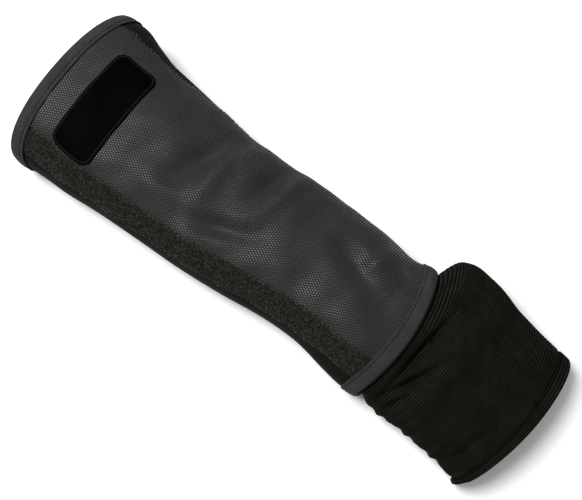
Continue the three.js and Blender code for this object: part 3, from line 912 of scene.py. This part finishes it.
plates = plate_tree()
PLATE = {"Width": DOT_WIDTH, "Height": 2 * DOT_HEIGHT, "Sides": DOT_SIDES}
dot_ends = [OPEN_X, (OPEN_X + JOIN_X) / 2, JOIN_X + JOIN_BOW]
for number, name in enumerate(("guard_dots_upper", "guard_dots_lower")):
    spots = dot_spots(dot_ends[number], dot_ends[number + 1], seed=11 + number)
    dots = scatter(name, plates, spots, resin, PLATE)
    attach(dots, "root")


# Side band
# A strip of rough looped cloth, sewn between the guard panel and the back panel along the near
# side. Its face is a mat of small thread loops that stand on a plain ground.
LOOP_PITCH = 1.12 * MM
LOOP_WIDTH = 1.15 * MM
LOOP_HEIGHT = 0.62 * MM
LOOP_THREAD = 0.30 * MM
LOOP_MARGIN = 0.2 * MM
LOOP_UNDER = LOOP_WIDTH / 3
LOOP_SHIFT = 0.45
LOOP_TILT = 0.35
LOOP_SCALES = (0.7, 1.2)
LOOP_SEED = 5
FOOT_SINK = 0.6
SPECKLE_TONES = (0.1, 0.5)
FIBRE_SCALE = 2600.0
FIBRE_DEPTH = 0.08 * MM


def arch_tree(name):
    """A short thread that rises out of the cloth and goes back in: a stitch or a loop."""
    tree, source = scatter_tree(name, ["Length", "Height", "Thread"])

    def times(value, factor):
        return math_out(tree, "MULTIPLY", value, factor)

    foot = times(source["Thread"], -FOOT_SINK)
    first = add_node(tree, "ShaderNodeCombineXYZ", {"X": times(source["Length"], -0.5), "Z": foot})
    last = add_node(tree, "ShaderNodeCombineXYZ", {"X": times(source["Length"], 0.5), "Z": foot})
    crown = add_node(tree, "ShaderNodeCombineXYZ", {"Z": times(source["Height"], 2.0)})
    line = add_node(
        tree, "GeometryNodeCurveQuadraticBezier",
        {"Resolution": 4, "Start": first.outputs[0], "Middle": crown.outputs[0], "End": last.outputs[0]},
    )
    ring = add_node(
        tree, "GeometryNodeCurvePrimitiveCircle",
        {"Resolution": 4, "Radius": times(source["Thread"], 0.5)},
    )
    thread = add_node(
        tree, "GeometryNodeCurveToMesh",
        {"Curve": line.outputs[0], "Profile Curve": ring.outputs["Curve"], "Fill Caps": True},
    )
    return end_tree(tree, source, thread.outputs[0])


ARCH = arch_tree("arched_thread")


def loop_spots():
    """Places of the loops: an even grid on the band, each one shifted and turned by chance."""
    chance = np.random.default_rng(LOOP_SEED)
    x, arc_in = np.meshgrid(
        np.arange(OPEN_X, JOIN_X + JOIN_BOW, LOOP_PITCH),
        np.arange(LOOP_MARGIN, BAND_WIDTH - LOOP_MARGIN, LOOP_PITCH),
        indexing="ij",
    )
    x = x.ravel() + chance.uniform(-LOOP_SHIFT, LOOP_SHIFT, x.size) * LOOP_PITCH
    arc = near_seam(x) + arc_in.ravel() + chance.uniform(-LOOP_SHIFT, LOOP_SHIFT, x.size) * LOOP_PITCH
    turn = turn_at(SHELL, x, arc)
    kept = between_tapes(x, turn, LOOP_UNDER)
    x, turn, arc = x[kept], turn[kept], arc[kept]
    out, lengthways, round_it = lie_at(shell_point, x, turn)
    angle = chance.uniform(0, 2 * math.pi, len(x))[:, None]
    edge = np.minimum(arc - near_seam(x), low_seam(x) - arc)
    lie = lengthways * np.cos(angle) + round_it * np.sin(angle)
    tilted = unit(out + LOOP_TILT * chance.normal(size=out.shape))
    return spots_of(shell_point(x, turn, -edge_drop(edge, x)), tilted, lie, LOOP_SCALES, chance)


def speckled(name, dark, light, roughness, scale, specular):
    """Thread whose tone changes from one loop to the next, and along it."""
    material, tree, shader = new_material(name, dark, roughness, specular)
    own = add_node(tree, "ShaderNodeAttribute", attribute_name="tone").outputs["Fac"]
    place = add_node(tree, "ShaderNodeTexCoord").outputs["Object"]
    mixed = math_out(tree, "MULTIPLY", own, noise_out(tree, place, scale, 4.0))
    tint(tree, shader, spread(tree, mixed, *SPECKLE_TONES), dark, light)
    relief(tree, shader, noise_out(tree, place, FIBRE_SCALE, 2.0), FIBRE_DEPTH, 0.6)
    return material


band_cloth = woven(
    "band_ground", (0.0042, 0.0042, 0.0022), (0.0120, 0.0116, 0.0072), 0.95, 0.9 * MM, 2, 0.25 * MM,
    specular=0.08,
)
band = panel_piece("side_band_cloth", band_cloth, near_seam, low_seam, rows=PANEL_ROWS, columns=12)
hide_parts("side_band")
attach(band, "root")
loop_thread = speckled(
    "loop_thread", (0.0050, 0.0048, 0.0024), (0.074, 0.071, 0.055), 0.9, 420.0, specular=0.1
)
LOOP_SIZES = {"Length": LOOP_WIDTH, "Height": LOOP_HEIGHT, "Thread": LOOP_THREAD}
loops = scatter("side_band_loops", ARCH, loop_spots(), loop_thread, LOOP_SIZES)
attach(loops, "root")


# Back panel
# A smooth, dense twill that closes the tube underneath. It lies flat on the floor and turns up
# to the band on the near side and to the guard panel on the far side.
back_cloth = woven(
    "back_twill", (0.0024, 0.0024, 0.0019), (0.0062, 0.0062, 0.0054), 0.9, 0.42 * MM, 3, 0.08 * MM,
    specular=0.06,
)
back = panel_piece("back_panel_cloth", back_cloth, low_seam, round_to_far_seam, rows=170, columns=104)
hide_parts("back_panel")
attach(back, "root")


# Seam stitches
# The long seams are sewn with heavy thread. The stitches lie along the valley of each seam,
# slanted a little, and pull both edges down. The thread is tinted far lighter than the cloth: a
# painted highlight on the stitches, over the thread's own speckle.
STITCH_LENGTH = 3.0 * MM
STITCH_THREAD = 0.42 * MM
STITCH_RISE = 0.18 * MM
STITCH_SLANT = math.radians(6)
STITCH_SINK = 0.05 * MM
STITCH_SCALES = (0.9, 1.1)
STITCH_SEED = 8


def seam_spots(arc_of):
    """Places of the stitches along a long seam."""
    chance = np.random.default_rng(STITCH_SEED)
    x = np.arange(OPEN_X, JOIN_X + JOIN_BOW, STITCH_PITCH)
    turn = turn_at(SHELL, x, arc_of(x))
    kept = between_tapes(x, turn)
    x, turn = x[kept], turn[kept]
    out, lengthways, round_it = lie_at(shell_point, x, turn)
    lie = lengthways * math.cos(STITCH_SLANT) + round_it * math.sin(STITCH_SLANT)
    return spots_of(shell_point(x, turn, -STITCH_SINK), out, lie, STITCH_SCALES, chance)


def joined(spots):
    """Several sets of places as one."""
    return {key: np.concatenate([one[key] for one in spots]) for key in spots[0]}


dark_thread = speckled(
    "dark_thread", (0.002, 0.002, 0.002), (0.008, 0.008, 0.0075), 0.8, 300.0, specular=0.1
)
# Painted highlight: the seam thread's light tones stand in for glints on the stitches.
highlit_seam_thread = speckled(
    "highlit_seam_thread", (0.016, 0.016, 0.0145), (0.080, 0.080, 0.075), 0.8, 300.0, specular=0.15
)
STITCH_SIZES = {"Length": STITCH_LENGTH, "Height": STITCH_RISE, "Thread": STITCH_THREAD}
seam_rows = joined([seam_spots(seam) for seam in (near_seam, low_seam, far_seam)])
seam_stitches = scatter("seam_stitches", ARCH, seam_rows, highlit_seam_thread, STITCH_SIZES)
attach(seam_stitches, "root")


# Bindings
# Woven tape folded over each end of the shell, outside and inside, and sewn through in one row
# close to its edge. The row pulls a groove into the tape, and the edge beyond it stands up.
TAPE_COLUMNS = 300
TAPE_GROOVE = 2.7 * MM
GROOVE_DEPTH = 0.50 * MM
GROOVE_HALF = 0.50 * MM
TAPE_CROWN = 0.28 * MM
TAPE_EDGE = 0.5 * MM
TAPE_NOSE = 2.4 * MM
TAPE_NOSE_STEPS = 11
TAPE_PLAIN_FROM = 1.6 * MM
TAPE_PLAIN_STEPS = 8
TAPE_CREASE = 0.4 * MM
TAPE_WAVER = 0.30 * MM
TAPE_WAVES = 5
WAVER_RUN = 4 * MM
TAPE_PULL = 0.35
TAPE_STITCHES = 90
TAPE_STITCH_SCALE = 0.9
TAPE_STITCH_DEPTH = 0.75
DEEP = -SHELL_WALL - GAP
DEEPEST = DEEP - TAPE_WALL


def tape_face(from_edge, arc):
    """How far the tape's face stands over its flat level, at a distance from its sewn edge."""
    pull = 1 + TAPE_PULL * np.cos(2 * math.pi * arc / STITCH_PITCH)
    groove = GROOVE_DEPTH * pull * np.exp(-(((from_edge - TAPE_GROOVE) / GROOVE_HALF) ** 2))
    run = np.clip((from_edge - TAPE_GROOVE) / (BINDING_WIDTH - TAPE_NOSE - TAPE_GROOVE), 0, 1)
    crown = TAPE_CROWN * np.sin(math.pi * run)
    inside = np.clip(1 - from_edge / TAPE_EDGE, 0, 1)
    edge = TAPE_EDGE * (1 - np.sqrt(1 - EDGE_FULL * inside**2))
    return crown - groove - edge


def rounded_nose(depth, upper, lower, steps):
    """A rounded edge between two levels: how far back from its tip each place is, and how high."""
    angles = np.linspace(0, math.pi, steps)[1:-1]
    middle = (upper + lower) / 2
    return depth * (1 - np.sin(angles)), middle + (upper - middle) * np.cos(angles)


def tape_profile():
    """The tape's outline, round once: distance in from the end, height, and which face it is."""
    grooved = TAPE_GROOVE + GROOVE_HALF * np.array([-2.4, -1.6, -1.0, -0.5, 0, 0.5, 1.0, 1.6, 2.4])
    ends = np.array([0, 0.08, 0.22, 0.5, 0.9]) * MM
    plain = np.linspace(TAPE_GROOVE + TAPE_PLAIN_FROM, BINDING_WIDTH - TAPE_NOSE, TAPE_PLAIN_STEPS)
    face = BINDING_WIDTH - np.concatenate([ends, grooved, plain])
    upper = GAP + TAPE_WALL
    nose_back, nose_off = rounded_nose(TAPE_NOSE, upper, DEEPEST, TAPE_NOSE_STEPS)
    fold = np.array([BINDING_WIDTH, TAPE_WALL * 2, TAPE_WALL, TAPE_WALL, TAPE_WALL * 2, BINDING_WIDTH])
    fold_off = np.array([DEEP, DEEP, DEEP + TAPE_CREASE, GAP - TAPE_CREASE, GAP, GAP])
    back = np.concatenate([face, nose_back, face[::-1], fold])
    off = np.concatenate([np.full(len(face), upper), nose_off, np.full(len(face), DEEPEST), fold_off])
    side = np.concatenate([np.ones(len(face)), 0 * nose_off, -np.ones(len(face)), 0 * fold])
    return back, off, side


def ring_places(form, x_of, columns):
    """x, turn and arc of even places round a form, on a line whose x changes with the turn."""
    share = np.arange(columns) / columns
    turn = np.zeros(columns)
    for _ in range(PLACE_PASSES + 1):
        x = x_of(turn)
        far, near = half_girths(form, x)
        arc = -far + share * (far + near)
        turn = turn_at(form, x, arc)
    return x, turn, arc


def tape_piece(name, end_x, inward, node):
    """A tape round one end. inward is the way from that end along the shell: 1 or -1."""
    rows = []
    flats = []
    run = 0.0
    before = None
    for back, off, side in zip(*tape_profile()):
        x, turn, arc = ring_places(SHELL, lambda angle: end_x(angle) + inward * back, TAPE_COLUMNS)
        from_edge = BINDING_WIDTH - back
        waver = TAPE_WAVER * np.sin(turn * TAPE_WAVES + 1) * np.clip(1 - from_edge / WAVER_RUN, 0, 1)
        height = off + side * tape_face(from_edge, arc)
        rows.append(over_floor(shell_point(x + inward * waver * abs(side), turn, height)))
        if before is not None:
            run += math.hypot(back - before[0], off - before[1])
        before = (back, off)
        round_it = np.append(arc, 2 * arc[-1] - arc[-2])
        flats.append(np.stack([round_it, np.full(len(round_it), run)], axis=-1))
    flats.append(flats[0] + [0, run])
    mesh = grid_mesh(name, np.array(rows), np.array(flats), close_rows=True, close_columns=True)
    piece = add_piece(name, mesh, tape_cloth)
    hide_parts(node)
    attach(piece, "root")


def tape_row_spots(end_x, inward):
    """Places of the stitches in the grooves of the tape's outer and inner face."""
    back = BINDING_WIDTH - TAPE_GROOVE
    x, turn, _ = ring_places(SHELL, lambda angle: end_x(angle) + inward * back, TAPE_STITCHES)
    out, _, round_it = lie_at(shell_point, x, turn)
    sets = []
    for off, side in ((GAP + TAPE_WALL, 1), (DEEPEST, -1)):
        place = shell_point(x, turn, off - side * GROOVE_DEPTH * TAPE_STITCH_DEPTH)
        place = over_floor(place, STITCH_THREAD)
        sets.append(spots_of(place, out * side, round_it, TAPE_STITCH_SCALE))
    return joined(sets)


tape_cloth = woven(
    "tape_cloth", (0.0050, 0.0050, 0.0050), (0.034, 0.034, 0.034), 0.85, 1.0 * MM, 3, 0.3 * MM,
    specular=0.15,
)
tape_thread = speckled(
    "tape_thread", (0.005, 0.005, 0.005), (0.012, 0.012, 0.0115), 0.8, 300.0, specular=0.1
)
tape_piece("open_end_tape", open_x, 1, "open_end_binding")
tape_piece("junction_tape", join_x, -1, "junction_binding")
for name, end_x, inward in (("open_end_stitches", open_x, 1), ("junction_stitches", join_x, -1)):
    row = scatter(name, ARCH, tape_row_spots(end_x, inward), tape_thread, STITCH_SIZES)
    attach(row, "root")


# Knit cuff
# A tube of black rib knit sewn inside the wrist end. It bulges out from under the tape, lies in
# soft cross folds, and ends in a turned hem. Its fine ribs run round the wrist.
RIB_PITCH = 1.9 * MM
RIB_HEIGHT = 0.40 * MM
RIB_ROWS = 4
KNIT_COLUMNS = 190
KNIT_GIRTH = 0.31
HEM_PLUMP = 0.35 * MM
HEM_GROOVE = 1.3 * MM
HEM_GROOVE_HALF = 1.1 * MM
HEM_NOSE = 1.7 * MM
HEM_NOSE_STEPS = 9
CUFF_CREASES = table("at around turn length width rise", [
    (0.105, -0.165, 83, 0.27, 0.032, -0.080),
    (0.205, 0.130, 93, 0.30, 0.019, -0.105),
    (0.265, -0.020, 96, 0.20, 0.030, 0.022),
    (0.270, 0.310, 112, 0.27, 0.019, -0.115),
    (0.215, 0.420, 112, 0.16, 0.018, 0.028),
    (0.290, 0.450, 110, 0.14, 0.017, -0.085),
    (0.350, 0.520, 106, 0.10, 0.014, -0.040),
    (0.855, 0.310, 105, 0.24, 0.020, -0.040),
    (0.800, 0.400, 108, 0.16, 0.024, 0.022),
])
HEM_STITCH = 2.4 * MM
HEM_STITCH_SCALE = 0.55
HEM_STITCH_DEPTH = 0.8
HEM_RISE_RUN = 1.5 * MM
HEM_RIB_SHARE = 0.4
PUCKER_HEIGHT = 0.55 * MM
PUCKER_LONG = 12.5 * MM
PUCKER_SHORT = 8.3 * MM
PUCKER_SHORT_SHARE = 0.6
PUCKER_PHASE = 0.8
PUCKER_SIDE_FROM = 0.72
PUCKER_SIDE_FADE = 0.2
PUCKER_UNDER_FROM = -0.6
PUCKER_UNDER_FADE = 0.3
# The ribs' painted shade and highlight: how sharp the lit crests are, and the thread's own unevenness on
# them
RIB_SHARPNESS = 2.4
RIB_EVEN_TONE = 0.15
RIB_UNEVENNESS = (0.25, 0.75)
RIB_THREAD_DEPTH = 0.2 * MM
# Painted shade along the hem's stitched groove: distances from it, and the tone there and beyond
HEM_LINE_SHADE = (0.2 * MM, 1.6 * MM, 0.35, 1.0)
INNER_STEPS = 46
FOLDED_STEPS = 8
PLUMPNESS = 3.0
RIB_LEAN = 8 * MM
RIB_PACK = 4.8 * MM
PACK_RUN = 8 * MM
CUFF = new_form(
    JOIN_X, CUFF_LENGTH, CUFF_WIDTH, CUFF_HEIGHT, CUFF_SECTIONS, np.concatenate([CUFF_FOLDS, CUFF_CREASES])
)


def on_far_side(turn):
    """1 on the far side of the cuff, and 0 from the crown and the underside on."""
    return smooth(-np.sin(turn))


def puckers(x, turn):
    """Small scallops of the gathered knit along its band side."""
    run = 2 * math.pi * (x - JOIN_X)
    waves = np.sin(run / PUCKER_LONG + PUCKER_PHASE) + PUCKER_SHORT_SHARE * np.sin(run / PUCKER_SHORT)
    on_side = smooth((np.sin(turn) - PUCKER_SIDE_FROM) / PUCKER_SIDE_FADE)
    off_floor = smooth((np.cos(turn) - PUCKER_UNDER_FROM) / PUCKER_UNDER_FADE)
    return PUCKER_HEIGHT * waves * on_side * off_floor


def knit_point(x, turn):
    """A point of the knit's face: it comes out from inside the tape, most plumply on the far side."""
    x, turn = np.broadcast_arrays(x, turn)
    inside = shell_point(x, turn, -KNIT_INSET)
    y, z = bare_section(CUFF, x, turn, 0.0)
    ny, nz = outward(CUFF, x, turn, 0.0)
    rise = fold_rise(CUFF, x, turn) + puckers(x, turn)
    free = np.stack([x, y + ny * rise, z + nz * rise], axis=-1)
    out_by = np.clip((x - join_x(turn)) / FLARE, 0, 1)
    plump = 1 - (1 - out_by) ** PLUMPNESS
    share = smooth(out_by) + (plump - smooth(out_by)) * on_far_side(turn)
    return inside + (free - inside) * share[..., None]


def knit_x(turn, run):
    """x of a line round the knit, by its distance from the shell's end.

    The ribs lean between the two ends, and lie close where the far side rises out of the tape.
    """
    beyond = (hem_x(turn) - join_x(turn)) / CUFF_LENGTH
    free_run = np.clip(run, 0, CUFF_LENGTH)
    lean = RIB_LEAN * np.sin(turn) * np.sin(math.pi * free_run / CUFF_LENGTH)
    pack = RIB_PACK * (1 - np.exp(-free_run / PACK_RUN)) * (1 - (free_run / CUFF_LENGTH) ** 2)
    return join_x(turn) + run * np.where(run > 0, beyond, 1.0) + lean - pack * on_far_side(turn)


def knit_face(run):
    """Ribs, the hem's groove and its plump fold, over the knit's plain face."""
    hem_start = CUFF_LENGTH - HEM_WIDTH
    in_hem = smooth((run - hem_start) / HEM_RISE_RUN)
    ribs = RIB_HEIGHT * (np.abs(np.sin(math.pi * run / RIB_PITCH)) - 1)
    ribs = ribs * (1 - (1 - HEM_RIB_SHARE) * in_hem)
    groove = HEM_GROOVE * np.exp(-(((run - hem_start) / HEM_GROOVE_HALF) ** 2))
    return ribs - groove + HEM_PLUMP * in_hem


def knit_profile():
    """The knit's outline, round once: distance from the shell's end, and how far off its face."""
    hidden = np.array([-BINDING_WIDTH - TUCK, -BINDING_WIDTH, -6 * MM, -2 * MM])
    ribbed = np.arange(0, CUFF_LENGTH - HEM_NOSE, RIB_PITCH / RIB_ROWS)
    outer = np.concatenate([hidden, ribbed])
    outer_off = np.where(outer > 0, knit_face(outer), 0)
    thick = 2 * KNIT_WALL
    nose_back, nose_off = rounded_nose(HEM_NOSE, HEM_PLUMP, -thick, HEM_NOSE_STEPS)
    hem_start = CUFF_LENGTH - HEM_WIDTH
    folded = np.linspace(CUFF_LENGTH - HEM_NOSE, hem_start, FOLDED_STEPS)
    free = np.linspace(hem_start - KNIT_WALL, -BINDING_WIDTH - TUCK, INNER_STEPS)
    runs = np.concatenate([outer, CUFF_LENGTH - nose_back, folded, free])
    offs = np.concatenate([
        outer_off, nose_off, np.full(len(folded), -thick), np.full(len(free), -KNIT_WALL),
    ])
    return runs, offs


def knit_mesh(name):
    """The knit's wall, from inside the tape out over its face, round the hem and back inside."""
    around = np.linspace(0, KNIT_GIRTH, KNIT_COLUMNS + 1)
    rows = []
    flats = []
    for run, off in zip(*knit_profile()):
        x, turn, _ = ring_places(CUFF, lambda angle: knit_x(angle, run), KNIT_COLUMNS)
        out, _, _ = lie_at(knit_point, x, turn)
        rows.append(over_floor(knit_point(x, turn) + out * off))
        flats.append(np.stack([around, np.full(len(around), run)], axis=-1))
    flats.append(flats[0])
    return grid_mesh(name, np.array(rows), np.array(flats), close_rows=True, close_columns=True)


def rib_material(name, groove, lit_crest, roughness, specular):
    """Knit thread: painted shade in the grooves between ribs, and a painted highlight, uneven with the
    thread, on their crests.
    """
    material, tree, shader = new_material(name, groove, roughness, specular)
    flat = add_node(tree, "ShaderNodeUVMap", uv_map="flat_cloth")
    run = add_node(tree, "ShaderNodeSeparateXYZ", {0: flat.outputs[0]}).outputs["Y"]
    # Painted shade and highlight: darker in the grooves between ribs, lighter on their crests.
    rib_shading = math_out(tree, "POWER", ridges(tree, run, math.pi / RIB_PITCH), RIB_SHARPNESS)
    threads = thread_outputs(tree, flat.outputs[0], RIB_PITCH / 2, 2)
    uneven = spread(tree, threads["Unevenness"], *RIB_UNEVENNESS)
    lively = math_out(tree, "MULTIPLY", threads["Height"], uneven)
    # Painted shade: the knit is darkened along the hem's stitched groove.
    from_line = math_out(tree, "SUBTRACT", run, CUFF_LENGTH - HEM_WIDTH)
    hem_line_shade = spread(tree, math_out(tree, "ABSOLUTE", from_line), *HEM_LINE_SHADE)
    tone = math_out(tree, "MULTIPLY", rib_shading, math_out(tree, "ADD", lively, RIB_EVEN_TONE))
    tint(tree, shader, math_out(tree, "MULTIPLY", tone, hem_line_shade), groove, lit_crest)
    relief(tree, shader, threads["Height"], RIB_THREAD_DEPTH, WEAVE_BUMP)
    return material


def hem_spots():
    """Places of the hem's stitches, in its groove."""
    count = round(KNIT_GIRTH / HEM_STITCH)
    x, turn, _ = ring_places(CUFF, lambda angle: knit_x(angle, CUFF_LENGTH - HEM_WIDTH), count)
    out, _, round_it = lie_at(knit_point, x, turn)
    place = over_floor(knit_point(x, turn) - out * HEM_GROOVE * HEM_STITCH_DEPTH, STITCH_THREAD)
    return spots_of(place, out, round_it, HEM_STITCH_SCALE)


# The groove colour is painted shade, and the crest colour a painted highlight.
knit_finish = rib_material(
    "rib_knit", (0.0006, 0.0006, 0.0003), (0.0215, 0.0205, 0.0145), 0.95, specular=0.03
)
knit = add_piece("knit_cuff_cloth", knit_mesh("knit_cuff_cloth"), knit_finish)
hem_row = scatter("hem_stitches", ARCH, hem_spots(), dark_thread, STITCH_SIZES)
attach(hem_row, "root")
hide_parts("knit_cuff")
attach(knit, "root")
